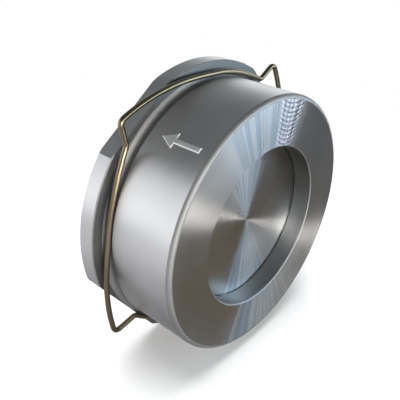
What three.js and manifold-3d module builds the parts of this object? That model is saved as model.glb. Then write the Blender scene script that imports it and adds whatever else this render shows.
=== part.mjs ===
// Wafer check valve for a pipe of 100 mm nominal bore, as a three.js scene graph.
// Millimetres. The flow runs along +Y, and +Z is up. The origin is the centre of the inlet face,
// so every value named ...Y is a distance behind that face. Angles round the flow axis are read
// like a clock's, in degrees from +Z towards +X.
import * as THREE from "three";
import { mergeVertices } from "three/addons/utils/BufferGeometryUtils.js";
import Module from "manifold-3d";

const wasm = await Module();
wasm.setup();

// ---------------------------------------------------------------- driving dimensions
const gap = 0.3; // between two pieces that rest on each other or fit into each other
const overrun = 1; // how far a cutting tool runs past what it cuts

// Body
const faceToFace = 60; // length along the flow
const boreRadius = 50.25;
const boreMouthChamfer = 0.6;
const seatDepth = 13; // inlet face to seat face
const seatEdgeChamfer = 0.8;
const bodyWall = 11.6; // round the outlet chamber
const faceEdgeRound = 2.5; // outer edge of the inlet face
const grooveDepth = 1.7; // below the main cylinder
const flangeRise = 8.9; // above the main cylinder
const flangeThickness = 10.8;
const flangeEdgeChamfer = 0.6;
const flatDepth = 6.6; // the deeper pair of flats, cut into the flange's rim
const flatAngles = [-34.5, 55.5, 145.5, 235.5];
const flatDepthShares = [0.6, 1, 0.6, 1];

// Flow arrow, raised on the main cylinder
const arrowAngle = -36;
const arrowLength = 26;
const arrowHeadLength = 9;
const arrowHeadWidth = 9;
const arrowShaftWidth = 3;
const arrowRise = 0.6;

// Soft seal in the seat face
const sealWidth = 3.5;
const sealHeight = 2.8; // squeezed flush with the seat
const sealInset = 2; // wall between the bore and the seal's groove

// Disc and its stem
const discThickness = 6;
const discMargin = 1.35; // disc edge beyond the seal's groove
const discEdgeChamfer = 1;
const lift = 14; // travel from shut to fully open
const stemRadius = 5;
const stemEngagement = 8.8; // length of shut stem inside the sleeve
const stemEndChamfer = 0.8;
const collarRadius = 9;
const collarThickness = 3;
const spigotRadius = 4; // screwed into the disc
const spigotLength = 3.2;

// Guide: spider plate, sleeve, bush and snap ring
const spiderRecess = 6.7; // outlet face to the plate
const spiderThickness = 4;
const armWidth = 13;
const armEndClearance = 0.6;
const armAngles = [0, 90, 180, 270];
const hubMargin = 1.6; // hub edge beyond the spring
const sleeveWall = 2;
const sleeveLip = 1.5;
const sleeveLipClearance = 1; // round the stem
const sleeveFlangeRise = 4;
const sleeveFlangeThickness = 2.2;
const sleeveTail = 1.2;
const bushWall = 2.55;
const runningClearance = 0.15; // stem in bush
const snapRingThickness = 1;
const snapRingWidth = 2;
const snapRingPlay = 0.1;
const snapRingInset = 1.2;
const snapRingBite = 0.9; // depth of its groove in the sleeve
const snapRingOpening = 40; // degrees

// Closing spring and its cup
const springWire = 1.8;
const springSleeveGap = 7.1;
const springTurns = 5.5;
const springEndTurns = 1; // closely wound, at each end
const springEndGap = 0.6; // between the close turns
const cupThickness = 1.2;
const cupRimThickness = 1.3;
const cupRimHeight = 2.5;

// Spider screws and split lock washers
const screwRadius = 2.5;
const screwLength = 13;
const screwHeadRadius = 4.25;
const screwHeadHeight = 3.5;
const screwSocketRadius = 1.75; // to the corners of its hexagon
const screwSocketDepth = 2;
const screwTipClearance = 0.6;
const lockWasherWidth = 1.6;
const lockWasherThickness = 1.2;
const lockWasherOpening = 24; // degrees
const lugThickness = 9;
const lugMargin = 1.2; // lug depth beyond the screw head
const lugSideMargin = 1.5; // lug width beyond the arm, each side
const lugClearance = 1; // between the disc's rim and the lugs

// Centring ring: open wire ring with outward kinks
const ringWire = 3.2;
const grooveSlack = 2.6; // groove width beyond the wire
const kinkHeight = 18.5; // groove to the corner of a tip
const kinkFootRise = 6; // how far the wire has left the groove at the foot of a steep leg
const ringBendRadius = 3.8;
const kinkAngles = [-209, -123.5, -41.1, 40.6];
const kinkHeightShares = [1, 1, 1.07, 1];
const kinkFootShares = [0.65, 0.65, 1.15, 0.3];
const kinkLiftShares = [0, 0.032, 0.146, 0]; // of the kink height, all along the wire after the kink
const kinkSteepAngles = [4.6, 4.6, 4.6, 3.7]; // from the foot of the steep leg to the tip
const kinkLegAngles = [42, 42, 45, 43]; // over which the long leg comes down
const kinkLegPower = 1.6;
const kinkRiseAngles = [30, 30, 30, 18]; // over which the wire leaves the groove
const ringStartAngle = -236;
const ringEndAngle = 116;
const ringStep = 5;

// Facets
const roundSegments = 72;
const smallSegments = 32;
const wireSides = 8;
const springSides = 5;
const springSteps = 8; // to each turn

// ---------------------------------------------------------------- worked-out sizes
const seatY = seatDepth;
const discFrontY = seatY + gap;
const discRearY = discFrontY + discThickness;
const sealGrooveInner = boreRadius + sealInset;
const sealGrooveOuter = sealGrooveInner + sealWidth + gap + gap;
const discRadius = sealGrooveOuter + discMargin;
const lugInner = discRadius + lugClearance;
const lugDepth = screwHeadRadius + screwHeadRadius + lugMargin;
const chamberRadius = lugInner + lugDepth;
const screwCircle = chamberRadius - lugDepth / 2;

const bodyRadius = chamberRadius + bodyWall;
const grooveRadius = bodyRadius - grooveDepth;
const flangeRadius = bodyRadius + flangeRise;
const flangeFrontY = faceToFace - flangeThickness;
const grooveFrontY = flangeFrontY - ringWire - grooveSlack;
const ringY = grooveFrontY + gap + ringWire / 2;
const ringRadius = grooveRadius + gap + ringWire / 2;
const grooveFillet = flangeFrontY - ringY;

const plateRearY = faceToFace - spiderRecess;
const plateFrontY = plateRearY - spiderThickness;
const lugRearY = plateFrontY - gap;
const collarFrontY = discRearY + gap;
const collarRearY = collarFrontY + collarThickness;
const sleeveFrontY = collarRearY + lift + gap;
const sleeveFlangeY = plateRearY + gap;
const sleeveRearY = sleeveFlangeY + sleeveFlangeThickness + sleeveTail;
const bushInner = stemRadius + runningClearance;
const bushOuter = bushInner + bushWall;
const sleeveBore = bushOuter + gap;
const sleeveRadius = sleeveBore + sleeveWall;
const snapGrooveRearY = sleeveRearY - snapRingInset;
const snapGrooveFrontY = snapGrooveRearY - snapRingThickness - snapRingPlay - snapRingPlay;
const snapGrooveRadius = sleeveBore + snapRingBite;

const springRadius = sleeveRadius + springSleeveGap + springWire / 2;
const springOuter = springRadius + springWire / 2;
const cupFrontY = discRearY + gap;
const cupBaseY = cupFrontY + cupThickness;
const springFrontY = cupBaseY + gap + springWire / 2;
const springRearY = plateFrontY - gap - springWire / 2;
const hubRadius = springOuter + hubMargin;

const washerFrontY = plateRearY + gap;
const washerInner = screwRadius + gap;
const headFrontY = washerFrontY + lockWasherThickness + gap;
const screwTipY = headFrontY - screwLength;

// ---------------------------------------------------------------- helpers
const radians = THREE.MathUtils.degToRad;
const at = (radius, y) => new THREE.Vector2(radius, y);

// A three.js geometry as a manifold-3d solid, its seams welded and its slivers on the axis dropped.
function solid(geometry) {
  const bare = new THREE.BufferGeometry();
  bare.setAttribute("position", geometry.getAttribute("position"));
  bare.setIndex(geometry.getIndex());
  const welded = mergeVertices(bare);
  const corners = welded.getIndex().array;
  const kept = [];
  for (let i = 0; i < corners.length; i += 3) {
    const [a, b, c] = [corners[i], corners[i + 1], corners[i + 2]];
    if (a !== b && b !== c && c !== a) kept.push(a, b, c);
  }
  const vertProperties = new Float32Array(welded.getAttribute("position").array);
  return new wasm.Manifold(
    new wasm.Mesh({ numProp: 3, vertProperties, triVerts: new Uint32Array(kept) }),
  );
}

function geometryOf(manifold) {
  const mesh = manifold.getMesh();
  const geometry = new THREE.BufferGeometry();
  geometry.setAttribute("position", new THREE.BufferAttribute(mesh.vertProperties, 3));
  geometry.setIndex(new THREE.BufferAttribute(mesh.triVerts, 1));
  geometry.computeVertexNormals();
  return geometry;
}

// A closed outline of (radius, y) points, turned round the flow axis.
// Its outer side is listed with y rising. It may start and end on the axis instead.
function turned(outline, segments = roundSegments) {
  const points = outline[0].x === 0 ? outline : [...outline, outline[0]];
  return solid(new THREE.LatheGeometry(points, segments));
}

// A round bar along the flow, from frontY to rearY, standing at a radius from the axis towards +Z.
function bar(radius, frontY, rearY, offset = 0, segments = smallSegments) {
  const geometry = new THREE.CylinderGeometry(radius, radius, rearY - frontY, segments);
  geometry.translate(0, (frontY + rearY) / 2, offset);
  return solid(geometry);
}

// A box between two corners.
function block(low, high) {
  const size = new THREE.Vector3().subVectors(high, low);
  const middle = new THREE.Vector3().addVectors(high, low).divideScalar(2);
  const geometry = new THREE.BoxGeometry(size.x, size.y, size.z);
  geometry.translate(middle.x, middle.y, middle.z);
  return solid(geometry);
}

// A flat shape, drawn in (x, -z), made thick along the flow.
function plate(shape, frontY, rearY, segments = roundSegments) {
  const geometry = new THREE.ExtrudeGeometry(shape, {
    depth: rearY - frontY,
    bevelEnabled: false,
    curveSegments: segments,
  });
  geometry.rotateX(-Math.PI / 2);
  geometry.translate(0, frontY, 0);
  return solid(geometry);
}

// A flat ring with a gap in it, the gap centred on +Z.
function openRing(inner, outer, openingDegrees, frontY, rearY) {
  const half = radians(openingDegrees) / 2;
  const start = -Math.PI / 2 + half;
  const end = start + (Math.PI + Math.PI) - half - half;
  const shape = new THREE.Shape();
  shape.absarc(0, 0, outer, start, end, false);
  shape.absarc(0, 0, inner, end, start, true);
  shape.closePath();
  return plate(shape, frontY, rearY, smallSegments);
}

// A closed tube through a list of points. across(i) gives two unit vectors square to the path.
function tube(points, radius, sides, across) {
  const positions = [];
  const index = [];
  points.forEach((point, i) => {
    const [u, v] = across(i);
    for (let s = 0; s < sides; s++) {
      const turn = (s / sides) * (Math.PI + Math.PI);
      const corner = point.clone().addScaledVector(u, radius * Math.cos(turn));
      corner.addScaledVector(v, radius * Math.sin(turn));
      positions.push(corner.x, corner.y, corner.z);
    }
  });
  const last = points.length - 1;
  for (let i = 0; i < last; i++) {
    for (let s = 0; s < sides; s++) {
      const next = (s + 1) % sides;
      const [a, b] = [i * sides + s, i * sides + next];
      const [c, d] = [a + sides, b + sides];
      index.push(a, b, d, a, d, c);
    }
  }
  for (let s = 1; s < sides - 1; s++) {
    index.push(0, s + 1, s);
    index.push(last * sides, last * sides + s, last * sides + s + 1);
  }
  const geometry = new THREE.BufferGeometry();
  geometry.setAttribute("position", new THREE.Float32BufferAttribute(positions, 3));
  geometry.setIndex(index);
  return geometry;
}

// The direction of a path at point i, from its neighbours.
function direction(points, i) {
  const before = points[Math.max(i - 1, 0)];
  const after = points[Math.min(i + 1, points.length - 1)];
  return new THREE.Vector3().subVectors(after, before).normalize();
}

const onClock = (geometry, degrees) => geometry.rotateY(radians(degrees));
const turnedTo = (manifold, degrees) => manifold.rotate([0, degrees, 0]);

// ---------------------------------------------------------------- materials
function metal(color, roughness, metalness = 1) {
  return new THREE.MeshStandardMaterial({ color, roughness, metalness });
}
const castSteel = metal(0xb9bbbe, 0.42);
const turnedSteel = metal(0xa9adb1, 0.25);
const brightSteel = metal(0xc4c6c8, 0.22);
const springSteel = metal(0x8f7f5e, 0.3);
const plateSteel = metal(0xb2b5b8, 0.35);
const bronze = metal(0xa9793f, 0.4);
const sealRubber = metal(0x1d1d1f, 0.7, 0);

const valve = new THREE.Group();
valve.name = "wafer_check_valve";

function add(name, geometry, material) {
  const mesh = new THREE.Mesh(geometry, material);
  mesh.name = name;
  valve.add(mesh);
  return mesh;
}

// ---------------------------------------------------------------- valve body
// A quarter round, as (radius, y) points about its centre.
function quarterRound(centre, radius, fromDegrees, toDegrees, steps) {
  return Array.from({ length: steps + 1 }, (_, i) => {
    const angle = radians(fromDegrees + ((toDegrees - fromDegrees) * i) / steps);
    return at(centre.x + radius * Math.cos(angle), centre.y + radius * Math.sin(angle));
  });
}

function flowArrow() {
  const tip = (grooveFrontY + arrowLength) / 2;
  const tail = tip - arrowLength;
  const neck = tip - arrowHeadLength;
  const shape = new THREE.Shape([
    at(-arrowShaftWidth / 2, tail),
    at(arrowShaftWidth / 2, tail),
    at(arrowShaftWidth / 2, neck),
    at(arrowHeadWidth / 2, neck),
    at(0, tip),
    at(-arrowHeadWidth / 2, neck),
    at(-arrowShaftWidth / 2, neck),
  ]);
  const depth = overrun + arrowRise;
  const geometry = new THREE.ExtrudeGeometry(shape, { depth, bevelEnabled: false });
  geometry.translate(0, 0, bodyRadius - overrun);
  return solid(onClock(geometry, arrowAngle));
}

function valveBody() {
  const outline = [
    at(boreRadius, boreMouthChamfer),
    at(boreRadius + boreMouthChamfer, 0),
    ...quarterRound(at(bodyRadius - faceEdgeRound, faceEdgeRound), faceEdgeRound, -90, 0, 4),
    at(bodyRadius, grooveFrontY),
    at(grooveRadius, grooveFrontY),
    ...quarterRound(at(grooveRadius + grooveFillet, ringY), grooveFillet, 180, 90, 5),
    at(flangeRadius - flangeEdgeChamfer, flangeFrontY),
    at(flangeRadius, flangeFrontY + flangeEdgeChamfer),
    at(flangeRadius, faceToFace - flangeEdgeChamfer),
    at(flangeRadius - flangeEdgeChamfer, faceToFace),
    at(chamberRadius, faceToFace),
    at(chamberRadius, seatY),
    at(sealGrooveOuter, seatY),
    at(sealGrooveOuter, seatY - sealHeight - gap),
    at(sealGrooveInner, seatY - sealHeight - gap),
    at(sealGrooveInner, seatY),
    at(boreRadius + seatEdgeChamfer, seatY),
    at(boreRadius, seatY - seatEdgeChamfer),
  ];
  let body = turned(outline);

  flatAngles.forEach((angle, i) => {
    const flatDistance = flangeRadius - flatDepth * flatDepthShares[i];
    const cutter = block(
      new THREE.Vector3(-flangeRadius, flangeFrontY - overrun, flatDistance),
      new THREE.Vector3(flangeRadius, faceToFace + overrun, flangeRadius + overrun),
    );
    body = body.subtract(turnedTo(cutter, angle));
  });

  const lugHalfWidth = armWidth / 2 + lugSideMargin;
  const lug = block(
    new THREE.Vector3(-lugHalfWidth, lugRearY - lugThickness, lugInner),
    new THREE.Vector3(lugHalfWidth, lugRearY, chamberRadius + bodyWall / 2),
  );
  const screwHole = bar(
    screwRadius + gap,
    screwTipY - screwTipClearance,
    lugRearY + overrun,
    screwCircle,
  );
  for (const angle of armAngles) {
    body = body.add(turnedTo(lug, angle)).subtract(turnedTo(screwHole, angle));
  }
  return body.add(flowArrow());
}

add("valve_body", geometryOf(valveBody()), castSteel);

// ---------------------------------------------------------------- soft seal
function sealRing() {
  const middle = at((sealGrooveInner + sealGrooveOuter) / 2, seatY - sealHeight / 2);
  const sides = 10;
  const outline = Array.from({ length: sides }, (_, i) => {
    const angle = radians((360 * i) / sides);
    return at(
      middle.x + (sealWidth / 2) * Math.cos(angle),
      middle.y + (sealHeight / 2) * Math.sin(angle),
    );
  });
  return turned(outline);
}

add("seat_o_ring", geometryOf(sealRing()), sealRubber);

// ---------------------------------------------------------------- disc and stem
function valveDisc() {
  const hole = spigotRadius + gap;
  const holeY = discRearY - spigotLength - gap;
  return turned([
    at(0, discFrontY),
    at(discRadius - discEdgeChamfer, discFrontY),
    at(discRadius, discFrontY + discEdgeChamfer),
    at(discRadius, discRearY - discEdgeChamfer),
    at(discRadius - discEdgeChamfer, discRearY),
    at(hole, discRearY),
    at(hole, holeY),
    at(0, holeY),
  ]);
}

function discStem() {
  const endY = sleeveFrontY + stemEngagement;
  return turned(
    [
      at(0, collarFrontY - spigotLength),
      at(spigotRadius, collarFrontY - spigotLength),
      at(spigotRadius, collarFrontY),
      at(collarRadius, collarFrontY),
      at(collarRadius, collarRearY),
      at(stemRadius, collarRearY),
      at(stemRadius, endY - stemEndChamfer),
      at(stemRadius - stemEndChamfer, endY),
      at(0, endY),
    ],
    smallSegments,
  );
}

add("valve_disc", geometryOf(valveDisc()), turnedSteel);
add("disc_stem", geometryOf(discStem()), brightSteel);

// ---------------------------------------------------------------- spring and its cup
function springSeatCup() {
  const rimInner = springOuter + gap;
  const rimOuter = rimInner + cupRimThickness;
  return turned([
    at(collarRadius + gap, cupFrontY),
    at(rimOuter, cupFrontY),
    at(rimOuter, cupBaseY + cupRimHeight),
    at(rimInner, cupBaseY + cupRimHeight),
    at(rimInner, cupBaseY),
    at(collarRadius + gap, cupBaseY),
  ]);
}

// The wire's place after a number of turns: close turns at both ends, even pitch between them.
function springPoint(turns) {
  const closePitch = springWire + springEndGap;
  const closeRise = springEndTurns * closePitch;
  const openTurns = springTurns - springEndTurns - springEndTurns;
  const openRise = springRearY - springFrontY - closeRise - closeRise;
  const front = Math.min(turns, springEndTurns) * closePitch;
  const middle = THREE.MathUtils.clamp((turns - springEndTurns) / openTurns, 0, 1) * openRise;
  const rear = Math.max(turns - springEndTurns - openTurns, 0) * closePitch;
  const angle = turns * (Math.PI + Math.PI);
  return new THREE.Vector3(
    springRadius * Math.sin(angle),
    springFrontY + front + middle + rear,
    springRadius * Math.cos(angle),
  );
}

function closingSpring() {
  const steps = Math.round(springTurns * springSteps);
  const points = Array.from({ length: steps + 1 }, (_, i) =>
    springPoint((springTurns * i) / steps),
  );
  let least = Infinity;
  for (let i = 0; i < points.length; i++) {
    for (let j = i + springSteps / 2; j < points.length; j++) {
      least = Math.min(least, points[i].distanceTo(points[j]) - springWire);
    }
  }
  console.log(`closing_spring: least gap between its turns ${least.toFixed(2)} mm`);
  return tube(points, springWire / 2, springSides, (i) => {
    const outward = new THREE.Vector3(points[i].x, 0, points[i].z).normalize();
    const along = direction(points, i);
    const inward = outward.addScaledVector(along, -outward.dot(along)).normalize();
    return [inward, new THREE.Vector3().crossVectors(along, inward)];
  });
}

add("spring_seat_cup", geometryOf(springSeatCup()), plateSteel);
add("closing_spring", closingSpring(), springSteel);

// ---------------------------------------------------------------- spider, sleeve, bush, snap ring
function guideSpider() {
  const reach = chamberRadius;
  const armAlongX = block(
    new THREE.Vector3(-reach, plateFrontY, -armWidth / 2),
    new THREE.Vector3(reach, plateRearY, armWidth / 2),
  );
  const armAlongZ = turnedTo(armAlongX, 90);
  const hub = bar(hubRadius, plateFrontY, plateRearY, 0, roundSegments);
  const limit = bar(
    chamberRadius - armEndClearance,
    plateFrontY - overrun,
    plateRearY + overrun,
    0,
    roundSegments,
  );
  let spider = armAlongX.add(armAlongZ).add(hub).intersect(limit);
  spider = spider.subtract(
    bar(sleeveRadius + gap, plateFrontY - overrun, plateRearY + overrun, 0, roundSegments),
  );
  const screwHole = bar(
    screwRadius + gap,
    plateFrontY - overrun,
    plateRearY + overrun,
    screwCircle,
  );
  for (const angle of armAngles) spider = spider.subtract(turnedTo(screwHole, angle));
  return spider;
}

function guideSleeve() {
  const lipRadius = stemRadius + sleeveLipClearance;
  const flangeRearY = sleeveFlangeY + sleeveFlangeThickness;
  return turned(
    [
      at(lipRadius, sleeveFrontY),
      at(sleeveRadius, sleeveFrontY),
      at(sleeveRadius, sleeveFlangeY),
      at(sleeveRadius + sleeveFlangeRise, sleeveFlangeY),
      at(sleeveRadius + sleeveFlangeRise, flangeRearY),
      at(sleeveRadius, flangeRearY),
      at(sleeveRadius, sleeveRearY),
      at(sleeveBore, sleeveRearY),
      at(sleeveBore, snapGrooveRearY),
      at(snapGrooveRadius, snapGrooveRearY),
      at(snapGrooveRadius, snapGrooveFrontY),
      at(sleeveBore, snapGrooveFrontY),
      at(sleeveBore, sleeveFrontY + sleeveLip),
      at(lipRadius, sleeveFrontY + sleeveLip),
    ],
    smallSegments,
  );
}

function guideBush() {
  const frontY = sleeveFrontY + sleeveLip + gap;
  const rearY = snapGrooveFrontY - gap;
  return turned(
    [at(bushInner, frontY), at(bushOuter, frontY), at(bushOuter, rearY), at(bushInner, rearY)],
    smallSegments,
  );
}

function bushRetainingRing() {
  const outer = snapGrooveRadius - gap;
  const frontY = snapGrooveFrontY + snapRingPlay;
  return openRing(
    outer - snapRingWidth,
    outer,
    snapRingOpening,
    frontY,
    frontY + snapRingThickness,
  );
}

add("guide_spider", geometryOf(guideSpider()), plateSteel);
add("guide_sleeve", geometryOf(guideSleeve()), brightSteel);
add("guide_bush", geometryOf(guideBush()), bronze);
add("bush_retaining_ring", geometryOf(bushRetainingRing()), springSteel);

// ---------------------------------------------------------------- screws and lock washers
function spiderScrew() {
  const headRearY = headFrontY + screwHeadHeight;
  const socket = bar(
    screwSocketRadius,
    headRearY - screwSocketDepth,
    headRearY + overrun,
    screwCircle,
    6,
  );
  return bar(screwRadius, screwTipY, headFrontY + gap, screwCircle)
    .add(bar(screwHeadRadius, headFrontY, headRearY, screwCircle))
    .subtract(socket);
}

function spiderLockWasher() {
  return openRing(
    washerInner,
    washerInner + lockWasherWidth,
    lockWasherOpening,
    washerFrontY,
    washerFrontY + lockWasherThickness,
  ).translate([0, 0, screwCircle]);
}

armAngles.forEach((angle, i) => {
  const screw = add(`spider_screw_${i + 1}`, geometryOf(spiderScrew()), brightSteel);
  const washer = add(`spider_lock_washer_${i + 1}`, geometryOf(spiderLockWasher()), springSteel);
  screw.rotation.y = radians(angle);
  washer.rotation.y = radians(angle);
});

// ---------------------------------------------------------------- centring ring
const ringPoint = (degrees, radius) =>
  new THREE.Vector3(radius * Math.sin(radians(degrees)), ringY, radius * Math.cos(radians(degrees)));

// The points of a round bend that replaces a sharp corner of the path.
function bend(before, corner, after) {
  const back = new THREE.Vector3().subVectors(before, corner).normalize();
  const on = new THREE.Vector3().subVectors(after, corner).normalize();
  const halfAngle = back.angleTo(on) / 2;
  const start = corner.clone().addScaledVector(back, ringBendRadius / Math.tan(halfAngle));
  const end = corner.clone().addScaledVector(on, ringBendRadius / Math.tan(halfAngle));
  const toCentre = back.add(on).normalize();
  const centre = corner.clone().addScaledVector(toCentre, ringBendRadius / Math.sin(halfAngle));
  const [from, to] = [start, end].map((p) => new THREE.Vector3().subVectors(p, centre));
  const steps = 4;
  return Array.from({ length: steps + 1 }, (_, i) =>
    from.clone().lerp(to, i / steps).setLength(ringBendRadius).add(centre),
  );
}

// The path of the wire: from tip to tip down a long leg, along the groove, up to the foot of the
// next steep leg, and straight up that leg.
function ringPath() {
  const tips = kinkAngles.map((angle, i) => ({
    angle,
    radius: ringRadius + kinkHeight * kinkHeightShares[i],
    lift: kinkHeight * kinkLiftShares[i],
    legAngle: kinkLegAngles[i],
    foot: angle - kinkSteepAngles[i],
    footRise: kinkFootRise * kinkFootShares[i],
    riseAngle: kinkRiseAngles[i],
  }));
  const radiusAt = (angle, last, next) => {
    let radius = ringRadius;
    if (last) {
      const left = Math.max(0, 1 - (angle - last.angle) / last.legAngle) ** kinkLegPower;
      radius = THREE.MathUtils.lerp(ringRadius + last.lift, last.radius, left);
    }
    if (next) {
      radius += next.footRise * Math.max(0, 1 - (next.foot - angle) / next.riseAngle) ** 2;
    }
    return radius;
  };
  const points = [];
  const lay = (from, to, last, next) => {
    const steps = Math.max(1, Math.round((to - from) / ringStep));
    for (let i = 0; i < steps; i++) {
      const angle = from + ((to - from) * i) / steps;
      points.push(ringPoint(angle, radiusAt(angle, last, next)));
    }
  };
  let last = null;
  let from = ringStartAngle;
  for (const tip of tips) {
    lay(from, tip.foot, last, tip);
    const foot = ringPoint(tip.foot, radiusAt(tip.foot, last, tip));
    const corner = ringPoint(tip.angle, tip.radius);
    from = tip.angle + ringStep;
    const legStart = ringPoint(from, radiusAt(from, tip, null));
    points.push(...bend(points.at(-1), foot, corner));
    points.push(...bend(points.at(-1), corner, legStart));
    last = tip;
  }
  lay(from, ringEndAngle, last, null);
  points.push(ringPoint(ringEndAngle, radiusAt(ringEndAngle, last, null)));
  return points;
}

function centringRing() {
  const points = ringPath();
  const alongFlow = new THREE.Vector3(0, 1, 0);
  return tube(points, ringWire / 2, wireSides, (i) => {
    const side = new THREE.Vector3().crossVectors(alongFlow, direction(points, i)).normalize();
    return [alongFlow, side.negate()];
  });
}

add("centring_ring", centringRing(), springSteel);

export default valve;
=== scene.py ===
# %% [markdown]
# # A wafer check valve
# A check valve lets the liquid in a pipe flow one way only. This one is a thick steel ring that two pipe
# flanges squeeze between them. Inside the ring a flat disc lies on a seat, a light spring keeps it shut,
# and the flow from the front lifts it off. Round the outside lies a bent wire ring that centres the valve
# between the flange bolts.
#
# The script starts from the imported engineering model. That model fixes where everything is and what moves.
# The script then builds a finer, rounder form of each piece and gives it the finish of the real metal.

# %% The engineering model, loaded as a fixed frame
import math
from collections import namedtuple

import bpy
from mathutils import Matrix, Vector


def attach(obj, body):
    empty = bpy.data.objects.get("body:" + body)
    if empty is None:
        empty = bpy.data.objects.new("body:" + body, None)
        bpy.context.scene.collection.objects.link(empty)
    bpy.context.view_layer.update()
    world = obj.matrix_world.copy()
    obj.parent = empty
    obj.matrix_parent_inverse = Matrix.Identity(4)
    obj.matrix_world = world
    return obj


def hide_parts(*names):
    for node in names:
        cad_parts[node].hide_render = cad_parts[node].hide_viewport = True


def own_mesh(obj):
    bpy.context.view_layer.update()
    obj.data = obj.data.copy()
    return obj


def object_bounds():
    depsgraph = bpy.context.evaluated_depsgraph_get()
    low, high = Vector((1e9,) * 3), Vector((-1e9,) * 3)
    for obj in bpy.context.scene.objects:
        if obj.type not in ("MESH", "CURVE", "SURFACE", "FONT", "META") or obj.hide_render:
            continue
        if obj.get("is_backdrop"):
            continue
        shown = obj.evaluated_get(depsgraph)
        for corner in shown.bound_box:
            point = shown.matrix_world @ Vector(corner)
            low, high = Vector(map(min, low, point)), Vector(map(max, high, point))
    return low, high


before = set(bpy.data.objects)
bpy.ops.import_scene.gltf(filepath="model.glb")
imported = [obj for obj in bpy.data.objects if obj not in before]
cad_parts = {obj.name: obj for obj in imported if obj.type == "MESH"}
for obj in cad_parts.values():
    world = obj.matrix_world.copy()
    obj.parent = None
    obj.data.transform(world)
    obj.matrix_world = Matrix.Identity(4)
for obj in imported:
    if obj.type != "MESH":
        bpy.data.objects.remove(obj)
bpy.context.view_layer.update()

PER_METRE = 1000


def size_in_mm(low, high):
    return [round(PER_METRE * (b - a), 1) for a, b in zip(low, high)]


# %% [markdown]
# ## Sizes
# Valves are drawn in millimetres, and Blender works in metres, so each mesh is scaled once, when it is
# made. The flow runs along +Y from the inlet face at y = 0, and +Z is up. A place round the flow axis is
# read like a clock's hand, in degrees from the top towards +X.

# %% Millimetres, and a place on the clock
MM = 1 / PER_METRE
TINY = 1e-6


def on_clock(radius, degrees, y):
    """The point at a distance from the flow axis, at an angle from the top, and at a place along the flow."""
    turn = math.radians(degrees)
    return Vector((radius * math.sin(turn), y, radius * math.cos(turn)))


def even_steps(start, end, count):
    """Numbers from start to end, both of them included, with the same step between them."""
    return [start + (end - start) * i / count for i in range(count + 1)]


print("10 mm from the axis at 90 degrees is", tuple(round(v, 1) for v in on_clock(10, 90, 0)))

# %% [markdown]
# ## The camera
# The picture was taken from the front left, a little above the valve and quite close to it. The camera is
# put where the round edges of the ring become the ellipses of the picture. A camera looks along its own -Z,
# so it is turned until that axis lies along the view.

# %% Camera
scene = bpy.context.scene
scene.view_settings.view_transform = "Standard"


def add_object(name, data):
    made = bpy.data.objects.new(name, data)
    scene.collection.objects.link(made)
    return made


def face_along(thing, direction):
    """Turn a camera or a lamp to look along a direction, with its top up."""
    thing.rotation_mode = "QUATERNION"
    thing.rotation_quaternion = direction.to_track_quat("-Z", "Y")


camera = add_object("camera", bpy.data.cameras.new("camera"))
camera.location = (-0.2252, -0.1521, 0.1819)
face_along(camera, Vector((0.6351, 0.5735, -0.5174)))
camera.data.sensor_width, camera.data.lens = 36, 49.155
camera.data.clip_start, camera.data.clip_end = 0.01, 50
scene.camera = camera
print("the camera stands", round(PER_METRE * camera.location.length), "mm from the inlet face's centre")

# %% [markdown]
# ## Outlines
# Most of a valve is made on a lathe: the work turns, a tool follows an outline, and the result is round
# about the flow axis. A Screw modifier could spin an outline too. Here the mesh is written point by point,
# because then each corner of each face gets its exact normal. Mirror-like steel shows every error of a
# normal.
#
# An outline is a list of corners (radius, y, edge round, finish of the line after it, finish of the round).
# `rounded` turns each corner with a round into a small arc, and gives every short line of the outline the
# directions that its two ends face.

# %% From corners to an outline with rounded edges
def outward_of(heading):
    """An outline is drawn with the metal on its left, so a line faces to the right of its own heading."""
    return Vector((heading.y, -heading.x))


def rounded(corners, closed=True, steps=5):
    """Lines (start, end, facing at start, facing at end, finish) of an outline in the (radius, y) plane."""
    count = len(corners)
    points = [Vector(c[:2]) for c in corners]
    rounds = [c[2] if len(c) > 2 else 0 for c in corners]
    finishes = [c[3] if len(c) > 3 else 0 for c in corners]
    round_finishes = [c[4] if len(c) > 4 else finish for c, finish in zip(corners, finishes)]
    arcs = []
    for i, corner in enumerate(points):
        inner = closed or 0 < i < count - 1
        if not inner or not rounds[i]:
            arcs.append([(corner, None)])
            continue
        before = (corner - points[i - 1]).normalized()
        after = (points[(i + 1) % count] - corner).normalized()
        start = corner - before * (rounds[i] * math.tan(abs(before.angle_signed(after)) / 2))
        side = 1 if before.x * after.y - before.y * after.x > 0 else -1
        centre = start - outward_of(before) * side * rounds[i]
        facings = [outward_of(before.slerp(after, share).normalized()) for share in even_steps(0, 1, steps)]
        arcs.append([(centre + facing * side * rounds[i], facing) for facing in facings])
    lines = []
    for i, arc in enumerate(arcs):
        for (a, facing_a), (b, facing_b) in zip(arc, arc[1:]):
            lines.append((a, b, facing_a, facing_b, round_finishes[i]))
        if i == count - 1 and not closed:
            break
        a, b = arc[-1][0], arcs[(i + 1) % count][0][0]
        if (b - a).length > TINY:
            facing = outward_of((b - a).normalized())
            lines.append((a, b, facing, facing, finishes[i]))
    return lines


bar = rounded([(9, 0, 1), (9, 4, 1), (5, 4, 1), (5, 0, 1)])
print("a square bar's outline with rounded edges has", len(bar), "lines")

# %% [markdown]
# ## Skins
# A skin is a plain record of a surface: points, faces, the normal at every face corner, and the number of
# the finish of each face. Skins can be added together before one mesh is made of them, so that a casting
# with its lugs is one piece here as it is on the real valve.

# %% Skins
def new_skin():
    return {"points": [], "faces": [], "normals": [], "finishes": []}


def add_points(skin, points):
    """Put points into a skin and give back their numbers."""
    first = len(skin["points"])
    skin["points"] += points
    return list(range(first, len(skin["points"])))


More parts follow.
